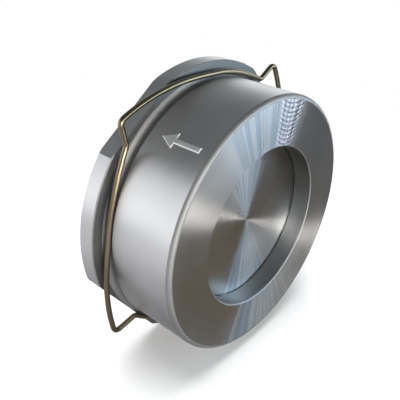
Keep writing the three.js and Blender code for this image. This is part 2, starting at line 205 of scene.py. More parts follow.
def add_face(skin, corners, normals, finish=0):
    """One face, its corners listed against the clock as seen from outside. A repeated corner is left out."""
    kept = [k for k, i in enumerate(corners) if i != corners[k - 1]]
    if len(kept) > 2:
        skin["faces"].append([corners[k] for k in kept])
        skin["normals"] += [normals[k] for k in kept]
        skin["finishes"].append(finish)


def bridge(skin, low, high):
    """Flat faces between two rows of points that each close into a loop."""
    for j in range(len(low)):
        k = (j + 1) % len(low)
        corners = [low[j], low[k], high[k], high[j]]
        a, b, c, d = (skin["points"][n] for n in corners)
        add_face(skin, corners, [(b - a).cross(d - a) + (c - b).cross(d - c)] * 4)


def joined(*skins):
    whole = new_skin()
    for skin in skins:
        first = len(whole["points"])
        whole["points"] += skin["points"]
        whole["faces"] += [[first + i for i in face] for face in skin["faces"]]
        whole["normals"] += skin["normals"]
        whole["finishes"] += skin["finishes"]
    return whole


def all_finished(skin, finish):
    skin["finishes"] = [finish] * len(skin["faces"])
    return skin


print("an empty skin holds", list(new_skin()))

# %% [markdown]
# One call makes the Blender object of a skin. It also says what the object is: which body of the model it
# moves with, which node of the model it stands for, and from which material slot it takes its finish.

# %% From a skin to a piece
def make_piece(node, skin, finishes, body):
    mesh = bpy.data.meshes.new(node + "_dressed")
    mesh.from_pydata([p * MM for p in skin["points"]], [], skin["faces"])
    mesh.polygons.foreach_set("use_smooth", [True] * len(skin["faces"]))
    mesh.polygons.foreach_set("material_index", skin["finishes"])
    mesh.normals_split_custom_set([n.normalized() for n in skin["normals"]])
    for finish in finishes:
        mesh.materials.append(finish)
    piece = add_object(node + "_dressed", mesh)
    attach(piece, body)
    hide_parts(node)
    print(f"{piece.name}: {len(mesh.polygons)} faces")
    return piece


print("the model has", len(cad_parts), "nodes to dress")

# %% [markdown]
# ## The lathe
# `turned` carries an outline round the flow axis. A `rim` can hold the radius back at some angles, which is
# how flats are milled on a flange: every ring of points stays a ring, and only its reach changes.

# %% The lathe
def turned(outline, columns=192, rim=None, shift=Vector(), closed=True, steps=5):
    """The skin of a turned outline.

    columns: how many columns of faces, or a list of their angles.
    rim(angle): the largest radius at that angle, and the way its flat faces or None.
    shift: from the flow axis to the axis that it turns about.
    """
    lines = outline if isinstance(outline[0][0], Vector) else rounded(outline, closed, steps)
    angles = columns if isinstance(columns, list) else even_steps(0, 360, columns)[:-1]
    skin = new_skin()

    def ring(point):
        if point.x < TINY:
            return add_points(skin, [Vector((0, point.y, 0)) + shift]) * len(angles)
        radii = [min(point.x, rim(angle)[0]) if rim else point.x for angle in angles]
        return add_points(skin, [on_clock(r, a, point.y) + shift for r, a in zip(radii, angles)])

    rings = {}
    for start, end, facing_start, facing_end, finish in lines:
        keys = [(round(p.x, 5), round(p.y, 5)) for p in (start, end)]
        for key, point in zip(keys, (start, end)):
            if key not in rings:
                rings[key] = ring(point)
        low, high = (rings[key] for key in keys)
        for j, angle in enumerate(angles):
            k = (j + 1) % len(angles)
            following = angles[k] + (360 if k == 0 else 0)
            sides = [angle, following, following, angle]
            facings = [facing_start, facing_start, facing_end, facing_end]
            if rim:
                limit, straight = rim((angle + following) / 2)
                if straight is not None and limit < min(start.x, end.x) and abs(facing_start.x) > 0.5:
                    sides = [straight] * 4
                    facings = [Vector((math.copysign(1, facing_start.x), 0))] * 4
            normals = [on_clock(f.x, a, f.y) for f, a in zip(facings, sides)]
            add_face(skin, [low[j], low[k], high[k], high[j]], normals, finish)
    return skin


bush = turned([(8, 0, 0.2), (8, 5, 0.2), (6, 5, 0.2), (6, 0, 0.2)])
print("a short turned bush has", len(bush["faces"]), "faces")

# %% [markdown]
# ## Finishes
# Steel has no pattern of its own. What one sees is how it was cut. A lathe leaves fine grooves that run
# round the axis, and they stretch every reflection across themselves, which draws the bright star on the
# disc. So a turned finish is mostly an anisotropic gloss with its direction running round the Y axis.
#
# Node trees are written with a few helpers. `feed` puts a number on a socket or links another socket to it,
# and `lay_out` spreads the finished tree out for whoever opens it.

# %% Helpers for nodes
COLUMN_WIDTH, ROW_HEIGHT = 220, 300


def feed(socket, value):
    if isinstance(value, bpy.types.NodeSocket):
        socket.id_data.links.new(value, socket)
    else:
        socket.default_value = value


def fill(node, values):
    """Feed a node's inputs by their names."""
    for label, value in values.items():
        feed(node.inputs[label], value)


def add_node(tree, kind, *values, **settings):
    """A new node with its settings, and with values fed to its first inputs."""
    made = tree.nodes.new(kind)
    for key, value in settings.items():
        setattr(made, key, value)
    for socket, value in zip(made.inputs, values):
        feed(socket, value)
    return made


def lay_out(tree, name):
    """Place the nodes in columns, each to the left of everything that it feeds."""
    columns = {node.name: 0 for node in tree.nodes}
    for _ in tree.nodes:
        for link in tree.links:
            source = link.from_node.name
            columns[source] = max(columns[source], columns[link.to_node.name] + 1)
    filled = {}
    for node in tree.nodes:
        column = columns[node.name]
        filled[column] = filled.get(column, 0) + 1
        node.location = (-COLUMN_WIDTH * column, -ROW_HEIGHT * filled[column])
    print(f"{name}: {len(tree.nodes)} nodes")


# %% [markdown]
# The nodes that come back most often get a short name each: a sum, a place, a change of range, soft noise,
# a ramp of colours and a blend of two colours. Each gives back the socket of its result.

# %% Short names for common nodes
def math_node(tree, operation, *values):
    return add_node(tree, "ShaderNodeMath", *values, operation=operation).outputs[0]


def vector_node(tree, operation, *values):
    made = add_node(tree, "ShaderNodeVectorMath", *values, operation=operation)
    return made.outputs["Value" if operation == "LENGTH" else "Vector"]


def object_place(tree):
    """The place of a point on the object itself, in metres."""
    return add_node(tree, "ShaderNodeTexCoord").outputs["Object"]


def parts_of(tree, vector):
    """The x, y and z of a vector."""
    return tuple(add_node(tree, "ShaderNodeSeparateXYZ", vector).outputs)


def map_range(tree, value, start, end, low=0, high=1, smooth=False):
    """A value carried from the range start..end to low..high and held inside it."""
    made = add_node(tree, "ShaderNodeMapRange", value, start, end, low, high)
    if smooth:
        made.interpolation_type = "SMOOTHSTEP"
    return made.outputs[0]


def soft_noise(tree, place, scale, detail, roughness=0.5):
    """Noise over space, or along a line where the place is one number."""
    line = place.type == "VALUE"
    made = add_node(tree, "ShaderNodeTexNoise", noise_dimensions="1D" if line else "3D")
    fill(made, {"W" if line else "Vector": place, "Scale": scale, "Detail": detail, "Roughness": roughness})
    return made.outputs[0]


def colour_ramp(tree, value, *stops):
    """Stops are (position, (red, green, blue)), from the lowest position to the highest."""
    made = add_node(tree, "ShaderNodeValToRGB", value)
    elements = made.color_ramp.elements
    for element, (position, colour) in ((elements[0], stops[0]), (elements[1], stops[-1])):
        element.position, element.color = position, (*colour, 1)
    for position, colour in stops[1:-1]:
        elements.new(position).color = (*colour, 1)
    return made.outputs[0]


def blend_colours(tree, share, a, b, blend="MIX"):
    made = add_node(tree, "ShaderNodeMix", data_type="RGBA", blend_type=blend)
    fill(made, {"Factor": share, "A": a, "B": b})
    return made.outputs["Result"]


print("a ramp, a blend and noise are ready to use")

# %% [markdown]
# Effects that several finishes share are node groups. The first reads a point's distance from the axis and
# its place along it, and gives the height of the tool's grooves: fine ones, and a slow swell over many of
# them. It also gives the few radial streaks that rubbing has left above and below the middle.

# %% Node group: the grooves that a lathe tool leaves
SWELLS_PER_MM = 0.17
SPOKE_SCALE, NOISE_MEAN = 15, 0.5
UPRIGHT_FROM, UPRIGHT_FULL = 0.84, 0.95


def new_group(name, inputs, outputs):
    """An empty group, its own inputs with their usual values, and the node that takes its results."""
    group = bpy.data.node_groups.new(name, "ShaderNodeTree")
    for label, value in inputs.items():
        socket = group.interface.new_socket(label, in_out="INPUT", socket_type="NodeSocketFloat")
        socket.default_value = value
    for label in outputs:
        group.interface.new_socket(label, in_out="OUTPUT", socket_type="NodeSocketFloat")
    return group, add_node(group, "NodeGroupInput").outputs, add_node(group, "NodeGroupOutput")


def from_axis(tree, place):
    """A point's distance from the flow axis, in metres."""
    x, _, z = parts_of(tree, place)
    squares = [math_node(tree, "POWER", value, 2) for value in (x, z)]
    return math_node(tree, "SQRT", math_node(tree, "ADD", *squares))


group, given, result = new_group(
    "lathe_grooves", {"Grooves per mm": 1.6, "Unevenness": 0.5, "Fan": 0.0}, ["Height", "Streaks"])
place = object_place(group)
radius = from_axis(group, place)
along_cut = math_node(group, "ADD", radius, parts_of(group, place)[1])
along_cut = math_node(group, "MULTIPLY", along_cut, PER_METRE)
fine = soft_noise(group, math_node(group, "MULTIPLY", along_cut, given["Grooves per mm"]), 1, 1)
swell = math_node(group, "MULTIPLY", soft_noise(group, along_cut, SWELLS_PER_MM, 2), given["Unevenness"])
cut = math_node(group, "ADD", fine, swell)

spoke = vector_node(group, "NORMALIZE", vector_node(group, "MULTIPLY", place, (1, 0, 1)))
spokes = math_node(group, "SUBTRACT", soft_noise(group, spoke, SPOKE_SCALE, 4, 0.6), NOISE_MEAN)
# The streaks are kept above and below the middle, where the cool window's wedge lies; the tone that metal
# makes of them is a painted reflection.
upright = math_node(group, "ABSOLUTE", parts_of(group, spoke)[2])
upright = map_range(group, upright, UPRIGHT_FROM, UPRIGHT_FULL, smooth=True)
streaks = math_node(group, "MULTIPLY", spokes, upright)
fanned = math_node(group, "MULTIPLY", streaks, math_node(group, "MULTIPLY", radius, PER_METRE))
fanned = math_node(group, "MULTIPLY", fanned, given["Fan"])
fill(result, {
    "Height": math_node(group, "ADD", cut, fanned),
    "Streaks": math_node(group, "ADD", streaks, NOISE_MEAN),
})
lay_out(group, group.name)
lathe_grooves = group

# %% [markdown]
# Where the tool chattered, it left a stack of shallow scallops. They lie in one narrow sector of the inlet
# face, near the top, and each sags a little towards the axis in its middle. A sine of the radius draws
# them, and a mask keeps them in their sector.

# %% Node group: chatter marks
CHATTER_CLOCK, CHATTER_HALF = 0.27, 0.13    # the sector's middle and half its width, in radians
CHATTER_SAG = 2.6    # mm
FADE_OUT, FADE_IN = 1.5, 0.9    # where the mask ends and where it is full, in half widths of the sector

group, given, result = new_group("chatter_marks", {"Pitch in mm": 2.6, "Depth": 0.5}, ["Height", "Mask"])
place = object_place(group)
x, _, z = parts_of(group, place)
off = math_node(group, "SUBTRACT", math_node(group, "ARCTAN2", x, z), CHATTER_CLOCK)
off = math_node(group, "DIVIDE", off, CHATTER_HALF)
sag = math_node(group, "MULTIPLY", math_node(group, "POWER", off, 2), CHATTER_SAG)
in_mm = math_node(group, "MULTIPLY", from_axis(group, place), PER_METRE)
turns = math_node(group, "MULTIPLY", math_node(group, "SUBTRACT", in_mm, sag), 2 * math.pi)
wave = math_node(group, "SINE", math_node(group, "DIVIDE", turns, given["Pitch in mm"]))
sector = map_range(group, math_node(group, "ABSOLUTE", off), FADE_OUT, FADE_IN, smooth=True)
scallops = math_node(group, "MULTIPLY", wave, sector)
# The mask of the scallops' crests is a painted highlight: metal blends a pale tone in there.
crests = math_node(group, "ADD", math_node(group, "MULTIPLY", wave, 0.5), 0.5)
crests = math_node(group, "POWER", crests, 1.5)
fill(result, {
    "Height": math_node(group, "MULTIPLY", scallops, given["Depth"]),
    "Mask": math_node(group, "MULTIPLY", crests, sector),
})
lay_out(group, group.name)
chatter_marks = group

# %% [markdown]
# The third group is the cloudiness of handled metal: broad, soft patches of tone, with a little fine grain
# in them. It gives one mask, and each finish turns that into its own tone and gloss.

# %% Node group: cloudy tone
GRAINS_PER_METRE = 900

group, given, result = new_group("cloudy_tone", {"Patches per metre": 25, "Grain": 0.2}, ["Mask"])
place = object_place(group)
patches = soft_noise(group, place, given["Patches per metre"], 2)
grain = math_node(group, "MULTIPLY", soft_noise(group, place, GRAINS_PER_METRE, 3), given["Grain"])
fill(result, {"Mask": math_node(group, "ADD", patches, grain)})
lay_out(group, group.name)
cloudy_tone = group

# %% [markdown]
# The fourth group is a faint dappled height, for surfaces that were cast, rolled or blasted and not turned.

# %% Node group: the fine dapple of a cast or blasted skin
group, given, result = new_group("dappled_skin", {"Dapples per metre": 700}, ["Height"])
fill(result, {"Height": soft_noise(group, object_place(group), given["Dapples per metre"], 4, 0.6)})
lay_out(group, group.name)
dappled_skin = group

# %% [markdown]
# `metal` builds one finish. Its numbers that are the same all over stand on the shader itself: how
# stretched the gloss is, and which way. The tone and the gloss vary a little with the cloudy mask, and the
# grooves or the dapple tilt the normal through a Bump node. Streaks and scallops are also drawn as faint
# tones, because their heights alone are too small to show at this distance. The streaks' darker, bluish tone
# is a painted reflection of the cool window, and the scallops' pale tone is a painted highlight on their
# crests.

# %% A metal finish
BUMP_HEIGHT = 0.0002    # metres
# The streak tone is a painted reflection of the cool window, and the pale scallop tone is a painted
# highlight.
STREAK_PAINTED_REFLECTION, SCALLOP_PAINTED_HIGHLIGHT = (0.58, 0.68, 0.8), (0.84, 0.81, 0.87, 1)
QUARTER_TURN = 0.25


def new_material(name):
    made = bpy.data.materials.new(name)
    made.use_nodes = True
    return made, made.node_tree, made.node_tree.nodes["Principled BSDF"]


def metal(name, dark, light, gloss, stretch=0, grooves=0, depth=0, grain=0.2, fan=0, chatter=0):
    """A metal's material.

    dark, light: the two ends of its tone. gloss: its lowest and its highest roughness.
    stretch: how far reflections stretch round the axis. grooves: lathe grooves per mm, or 0 for a dapple.
    depth: strength of either. grain, fan, chatter: strength of the grain, the streaks and the scallops.
    """
    finish, tree, shader = new_material(name)
    clouds = add_node(tree, "ShaderNodeGroup", node_tree=cloudy_tone)
    clouds.inputs["Grain"].default_value = grain
    mask = clouds.outputs["Mask"]
    colour = colour_ramp(tree, mask, (0.35, dark), (0.8, light))
    fill(shader, {"Metallic": 1, "Roughness": map_range(tree, mask, 0.3, 0.9, *gloss)})
    if stretch:
        tangent = add_node(tree, "ShaderNodeTangent", direction_type="RADIAL", axis="Y").outputs[0]
        fill(shader, {"Tangent": tangent, "Anisotropic": stretch, "Anisotropic Rotation": QUARTER_TURN})
    if depth:
        source = add_node(tree, "ShaderNodeGroup", node_tree=lathe_grooves if grooves else dappled_skin)
        height = source.outputs["Height"]
        if grooves:
            fill(source, {"Grooves per mm": grooves, "Fan": fan})
        if fan:
            # Painted reflection: the colour turns darker and bluer where the streaks are low.
            shade = colour_ramp(tree, source.outputs["Streaks"], (0.41, STREAK_PAINTED_REFLECTION), (0.53, (1, 1, 1)))
            colour = blend_colours(tree, 1, colour, shade, "MULTIPLY")
        if chatter:
            scallops = add_node(tree, "ShaderNodeGroup", node_tree=chatter_marks)
            scallops.inputs["Depth"].default_value = chatter
            height = math_node(tree, "ADD", height, scallops.outputs["Height"])
            # Painted highlight: a pale tone on the scallops' crests.
            colour = blend_colours(tree, scallops.outputs["Mask"], colour, SCALLOP_PAINTED_HIGHLIGHT)
        bump = add_node(tree, "ShaderNodeBump")
        fill(bump, {"Strength": depth, "Distance": BUMP_HEIGHT, "Height": height})
        fill(shader, {"Normal": bump.outputs[0]})
    fill(shader, {"Base Color": colour})
    lay_out(tree, name)
    return finish


# %% [markdown]
# The faces that the lathe cut last are the smoothest and have the longest star. The side is satin. The bore
# with the lugs, the groove and the flange's front face get a much darker tone than the steel, which is
# painted shade, because they see mostly themselves. The broken edges are dull, and their darker tone is
# painted shade too, so that no bright line of a lamp runs along them.

# %% The body's and the disc's finishes
turned_face = metal(
    "turned_face", (0.5, 0.505, 0.51), (0.62, 0.625, 0.63), (0.27, 0.32),
    stretch=1, grooves=0.7, depth=0.2, grain=0.05, fan=0.35, chatter=1)
turned_disc = metal(
    "turned_disc", (0.5, 0.505, 0.51), (0.62, 0.625, 0.63), (0.26, 0.31),
    stretch=1, grooves=0.7, depth=0.15, grain=0.05, fan=0.35)
turned_rear = metal(
    "turned_rear", (0.48, 0.485, 0.49), (0.6, 0.605, 0.61), (0.28, 0.34),
    stretch=0.9, grooves=0.7, depth=0.2, grain=0.1)
satin_side = metal(
    "satin_side", (0.46, 0.465, 0.475), (0.58, 0.585, 0.595), (0.36, 0.43),
    stretch=0.5, grooves=0.6, depth=0.1)
# The bore's and the lugs' tone is painted shade, far darker than the steel of the faces.
bore_in_painted_shade = metal("bore_in_painted_shade", (0.19, 0.2, 0.2), (0.27, 0.28, 0.28), (0.36, 0.44), stretch=0.5)
# The groove's and the flange front's tone is painted shade, darker still.
groove_in_painted_shade = metal("groove_in_painted_shade", (0.14, 0.15, 0.155), (0.19, 0.2, 0.205), (0.48, 0.56), depth=0.12)
# The broken edges' darker tone is painted shade that keeps the lamps' lines off them.
edge_in_painted_shade = metal("edge_in_painted_shade", (0.27, 0.275, 0.28), (0.33, 0.335, 0.34), (0.6, 0.68), depth=0.1)
worn_mark = metal("worn_mark", (0.66, 0.67, 0.68), (0.76, 0.77, 0.78), (0.5, 0.58), depth=0.1)

# %% [markdown]
# The small pieces are bar, plate and wire of the same steel with other finishes. The centring ring's wire
# has a tan tint from its heat treatment, and the bush is bearing bronze.

# %% The other metals
satin_plate = metal("satin_plate", (0.45, 0.455, 0.46), (0.56, 0.565, 0.57), (0.34, 0.42), depth=0.25)
bright_turned = metal(
    "bright_turned", (0.55, 0.555, 0.56), (0.65, 0.655, 0.66), (0.18, 0.26),
    stretch=0.6, grooves=1.2, depth=0.12)
fastener_steel = metal("fastener_steel", (0.5, 0.5, 0.51), (0.62, 0.62, 0.63), (0.22, 0.3), depth=0.12)
spring_wire_steel = metal(
    "spring_wire_steel", (0.42, 0.39, 0.33), (0.54, 0.5, 0.42), (0.2, 0.28), depth=0.1)
tan_wire = metal("tan_wire", (0.16, 0.135, 0.09), (0.23, 0.195, 0.135), (0.28, 0.36), depth=0.08)
bearing_bronze = metal(
    "bearing_bronze", (0.5, 0.33, 0.15), (0.62, 0.43, 0.22), (0.3, 0.4),
    stretch=0.4, grooves=1.2, depth=0.12)

# %% [markdown]
# The seat's seal is soft black rubber. It is the one surface that isn't metal: dark, dull and a little
# uneven.

# %% Rubber
seal_rubber, tree, shader = new_material("seal_rubber")
mask = add_node(tree, "ShaderNodeGroup", node_tree=cloudy_tone).outputs["Mask"]
fill(shader, {
    "Base Color": colour_ramp(tree, mask, (0, (0.012, 0.012, 0.013)), (1, (0.035, 0.035, 0.037))),
    "Roughness": map_range(tree, mask, 0, 1, 0.5, 0.7),
})
lay_out(tree, seal_rubber.name)

# %% [markdown]
# ## The body
# The body is one casting with its outside and its faces turned. From front to back one meets the flat
# sealing face with its rounded outer edge, the plain cylinder, a groove for the wire ring, and the larger
# rear flange. Inside are the bore, the step of the seat with a groove for the seal, and the wide chamber
# behind it.
#
# The flange has four flats on its rim, so that the bolts of a smaller pipe flange can pass. Each flat is a
# straight cut, and the `rim` function gives its distance from the axis at any angle. The ends of the flats
# get columns of their own, so that their edges are sharp.

# %% The flange's flats
FLANGE_R = 88.9
FLATS = [(-34.5, 84.94), (55.5, 82.3), (145.5, 84.94), (235.5, 82.3)]    # (angle, distance from the axis)


def flat_reach(distance):
    """How far a flat reaches to each side of its middle, in degrees."""
    return math.degrees(math.acos(distance / FLANGE_R))


def flange_rim(degrees):
    """(largest radius, the way the flat faces) at an angle, or (infinity, None) where no flat is cut."""
    for middle, distance in FLATS:
        off = (degrees - middle + 180) % 360 - 180
        if abs(off) < flat_reach(distance) - TINY:
            return distance / math.cos(math.radians(off)), middle
    return math.inf, None


flat_ends = [middle + side * flat_reach(distance) for middle, distance in FLATS for side in (-1, 1)]
body_columns = sorted({round(a % 360, 6) for a in even_steps(0, 360, 288)[:-1] + flat_ends})
print("flats of", [round(2 * math.sqrt(FLANGE_R**2 - distance**2), 1) for _, distance in FLATS], "mm")

# %% [markdown]
# The outline starts at the front of the bore and runs outward over the face, back along the outside, down
# the rear face and forward again through the chamber. Each corner says how it is rounded and which finish
# the line after it has, so one turn of the lathe gives the ring all its finishes.

# %% The body's turned form
SIDE_R = 80
FACE, SIDE, BORE, GROOVE, EDGE, MARK, REAR = range(7)
BODY_FINISHES = [turned_face, satin_side, bore_in_painted_shade, groove_in_painted_shade, edge_in_painted_shade, worn_mark, turned_rear]
body_outline = [
    (50.25, 0.6, 0.15, EDGE),
    (50.85, 0, 0.15, FACE),
    (SIDE_R, 0, 2.5, SIDE, EDGE),
    (SIDE_R, 43.4, 0.25, EDGE),
    (78.3, 43.4, 0.2, EDGE),
    (78.3, 49.2, 3.85, GROOVE, EDGE),
    (82.4, 49.2, 0, GROOVE),
    (88.3, 49.2, 0.12, EDGE),
    (FLANGE_R, 49.8, 0.12, SIDE),
    (FLANGE_R, 59.4, 0.12, SIDE),
    (88.3, 60, 0.12, REAR),
    (68.4, 60, 0.3, BORE),
    (68.4, 13, 0.6, BORE),
    (56.35, 13, 0.1, BORE),
    (56.35, 9.9, 0.1, BORE),
    (52.25, 9.9, 0.1, BORE),
    (52.25, 13, 0.1, BORE),
    (51.05, 13, 0.15, BORE),
    (50.25, 12.2, 0.15, BORE),
]
ring_skin = turned(body_outline, body_columns, flange_rim, steps=6)
print("the body's ring has", len(ring_skin["faces"]), "faces")

# %% [markdown]
# Four lugs stand inward from the chamber's wall and carry the spider plate. They are cast, so their edges
# are soft. Each is a flat outline made thick, with a hole for its screw. `slab` makes such plates: the
# outline is a 2D curve, its inner lines are holes, and the curve's own bevel rounds the edges. A bevel
# modifier on a mesh would do too, but the curve fills the plate round its holes by itself.

# %% Plates with holes and soft edges
SHARP_FROM = math.radians(35)


def slab(outlines, front, rear, edge, degrees=0):
    """A skin of closed outlines in (x, z), thick from front to rear along the flow, turned on the clock."""
    curve = bpy.data.curves.new("outline", "CURVE")
    curve.dimensions, curve.fill_mode = "2D", "BOTH"
    curve.extrude = (rear - front) / 2 - edge
    curve.bevel_depth, curve.bevel_resolution = edge, 2
    curve.offset = -edge
    for outline in outlines:
        spline = curve.splines.new("POLY")
        spline.points.add(len(outline) - 1)
        for point, (x, z) in zip(spline.points, outline):
            point.co = (x, z, 0, 1)
        spline.use_cyclic_u = True
    holder = add_object("outline", curve)
    mesh = bpy.data.meshes.new_from_object(holder.evaluated_get(bpy.context.evaluated_depsgraph_get()))
    mesh.polygons.foreach_set("use_smooth", [True] * len(mesh.polygons))
    mesh.set_sharp_from_angle(angle=SHARP_FROM)
    cos, sin = math.cos(math.radians(degrees)), math.sin(math.radians(degrees))

    def placed(v):
        return Vector((v.x * cos + v.y * sin, v.z, -v.x * sin + v.y * cos))

    skin = new_skin()
    middle = Vector((0, (front + rear) / 2, 0))
    add_points(skin, [placed(v.co) + middle for v in mesh.vertices])
    corner_normals = [placed(n.vector) for n in mesh.corner_normals]
    for polygon in mesh.polygons:
        flat = abs(polygon.normal.z) > 0.99
        loops = list(polygon.loop_indices)[::-1]
        normals = [placed(polygon.normal) if flat else corner_normals[i] for i in loops]
        add_face(skin, [mesh.loops[i].vertex_index for i in loops], normals)
    bpy.data.objects.remove(holder)
    bpy.data.curves.remove(curve)
    bpy.data.meshes.remove(mesh)
    return skin


def circle(x, z, radius, count=48):
    angles = even_steps(0, 2 * math.pi, count)[:-1]
    return [(x + radius * math.cos(a), z + radius * math.sin(a)) for a in angles]


print("a hole is drawn with", len(circle(0, 0, 1)), "points")

# %% [markdown]
# A lug is drawn at the top of the clock, with its two inner corners bent round, and then turned to its
# place. Its outer end runs a little into the chamber's wall, as the casting's would.

# %% The four lugs
LUG_ANGLES = (0, 90, 180, 270)
SCREW_CIRCLE_R, HOLE_R = 63.55, 2.8


def screw_hole(degrees):
    turn = math.radians(degrees)
    return circle(SCREW_CIRCLE_R * math.sin(turn), SCREW_CIRCLE_R * math.cos(turn), HOLE_R)


def lug(degrees):
    half, inner, outer, soft = 8, 58.7, 71, 2.2
    bend = [(soft * math.sin(a), soft * math.cos(a)) for a in (0.4, 0.8, 1.2)]
    corners = [(-half, outer), (-half, inner + soft)]
    corners += [(-half + soft - across, inner + soft - up) for up, across in bend]
    corners += [(-half + soft, inner), (half - soft, inner)]
    corners += [(half - soft + across, inner + soft - up) for across, up in bend]
    corners += [(half, inner + soft), (half, outer)]
    return slab([corners, screw_hole(0)], 40, 49, 0.6, degrees)


lug_skins = [all_finished(lug(degrees), BORE) for degrees in LUG_ANGLES]
print("each lug has", len(lug_skins[0]["faces"]), "faces")

# %% [markdown]
# A raised arrow on the side shows which way the flow goes. It is drawn flat, then laid on the cylinder: its
# width runs round the clock. Its outline is repeated at several heights, wide at the foot and narrow at the
# top, so that its edge slopes down into the metal as a cast mark's does.

# %% The flow arrow
ARROW_CLOCK = -36
ARROW = [Vector(p) for p in (
    (-1.5, 8.7), (1.5, 8.7), (1.5, 25.7), (4.5, 25.7), (0, 34.7), (-4.5, 25.7), (-1.5, 25.7))]
ARROW_TOP = ([0, 1, 2, 6], [2, 3, 4], [2, 4, 6], [4, 5, 6])
ARROW_SLOPE = [(0.3, -0.1), (0.15, 0.08), (0.0, 0.3), (-0.2, 0.5), (-0.5, 0.6)]    # (outward, up)


def grown(outline, by):
    """The outline with each corner moved outward by a distance."""
    moved = []
    for i, corner in enumerate(outline):
        following = outline[(i + 1) % len(outline)]
        sides = [outward_of(line).normalized() for line in (corner - outline[i - 1], following - corner)]
        moved.append(corner + (sides[0] + sides[1]) * (by / (1 + sides[0].dot(sides[1]))))
    return moved


arrow_skin, rows = new_skin(), []
for outward, up in ARROW_SLOPE:
    laid = [(ARROW_CLOCK + math.degrees(corner.x / SIDE_R), corner.y) for corner in grown(ARROW, outward)]
    rows.append(add_points(arrow_skin, [on_clock(SIDE_R + up, clock, y) for clock, y in laid]))
for low, high in zip(rows, rows[1:]):
    bridge(arrow_skin, low, high)
for face in ARROW_TOP:
    add_face(arrow_skin, [rows[-1][i] for i in face], [on_clock(1, ARROW_CLOCK, 0)] * len(face))
all_finished(arrow_skin, MARK)
print("the arrow has", len(arrow_skin["faces"]), "faces")

# %% [markdown]
# Ring, lugs and arrow are one casting, so they go into one mesh and stand for one node of the model.

# %% The whole body
valve_body = make_piece(
    "valve_body", joined(ring_skin, *lug_skins, arrow_skin), BODY_FINISHES, "base")

# %% [markdown]
# ## The disc, its seal and its stem
# The disc is a plain turned plate. Its front is what the flow pushes on. A stem is screwed into its back
# and slides in a bush, and a collar on the stem meets the guide sleeve when the valve is fully open. All
# three are turned, so three outlines on the same lathe make them. The seal's outline is an ellipse, because
# the rubber is pressed a little flat in its groove.

# %% Disc, seal and stem
disc_outline = [
    (0, 13.3), (57.7, 13.3, 0.9), (57.7, 19.3, 0.9), (4.3, 19.3, 0.2), (4.3, 15.8, 0.1), (0, 15.8)]
make_piece("valve_disc", turned(disc_outline, 288, closed=False), [turned_disc], "disc")

SEAL_R, SEAL_Y, SEAL_ACROSS, SEAL_ALONG = 54.3, 11.6, 1.75, 1.4
seal_angles = even_steps(0, 2 * math.pi, 24)
seal_lines = []
for spots in zip(seal_angles, seal_angles[1:]):
    ends = [Vector((SEAL_R + SEAL_ACROSS * math.cos(a), SEAL_Y + SEAL_ALONG * math.sin(a))) for a in spots]
    facings = [Vector((SEAL_ALONG * math.cos(a), SEAL_ACROSS * math.sin(a))).normalized() for a in spots]
    seal_lines.append((*ends, *facings, 0))
make_piece("seat_o_ring", turned(seal_lines, 192), [seal_rubber], "base")

stem_outline = [
    (0, 16.4), (4, 16.4, 0.3), (4, 19.6, 0.1), (9, 19.6, 0.4), (9, 22.6, 0.4), (5, 22.6, 0.3), (5, 45.7, 0.8),
    (0, 45.7),
]
make_piece("disc_stem", turned(stem_outline, 96, closed=False), [bright_turned], "disc")

# %% [markdown]
# ## Guide sleeve, bush, cup
# The sleeve is turned from bar, and its flange is held by the spider plate. The bronze bush in it guides
# the stem. The cup is a pressed washer with a rim that keeps the spring's front end in the middle. Pressed
# or turned, all three are round, so the lathe makes them too.

# %% Sleeve, bush and cup
sleeve_outline = [
    (6, 36.9, 0.3), (10, 36.9, 0.5), (10, 53.6, 0.1), (14, 53.6, 0.25), (14, 55.8, 0.35), (10, 55.8, 0.25),
    (10, 57, 0.3), (8, 57, 0.3), (8, 55.8, 0.05), (8.9, 55.8, 0.05), (8.9, 54.6, 0.05), (8, 54.6, 0.05),
    (8, 38.4, 0.1), (6, 38.4, 0.2),
]
make_piece("guide_sleeve", turned(sleeve_outline, 96), [bright_turned], "base")

bush_outline = [(5.15, 38.7, 0.3), (7.7, 38.7, 0.2), (7.7, 54.3, 0.2), (5.15, 54.3, 0.3)]
make_piece("guide_bush", turned(bush_outline, 96), [bearing_bronze], "base")

cup_outline = [
    (9.3, 19.6, 0.2), (20.5, 19.6, 0.9), (20.5, 23.3, 0.3), (19.2, 23.3, 0.3), (19.2, 20.8, 0.5),
    (9.3, 20.8, 0.2),
]
make_piece("spring_seat_cup", turned(cup_outline, 144), [satin_plate], "lift_carrier")

# %% [markdown]
# ## Wire
# The spring and the centring ring are both drawn wire. A curve with a round bevel could make them, but its
# normals twist where the wire bends. `swept` carries a section along a path. At each point it needs two
# directions square to the path, and their cross product must point along it, so that the faces turn
# outward. The ends are closed flat, or with a small dome.

# %% Wire along a path
DOME = [(0.35, 0.94), (0.75, 0.66), (0.92, 0.39)]    # (share of the dome's height, share of the section)
DOME_TILT = 1.2


def heading_at(path, i):
    return (path[min(i + 1, len(path) - 1)] - path[max(i - 1, 0)]).normalized()


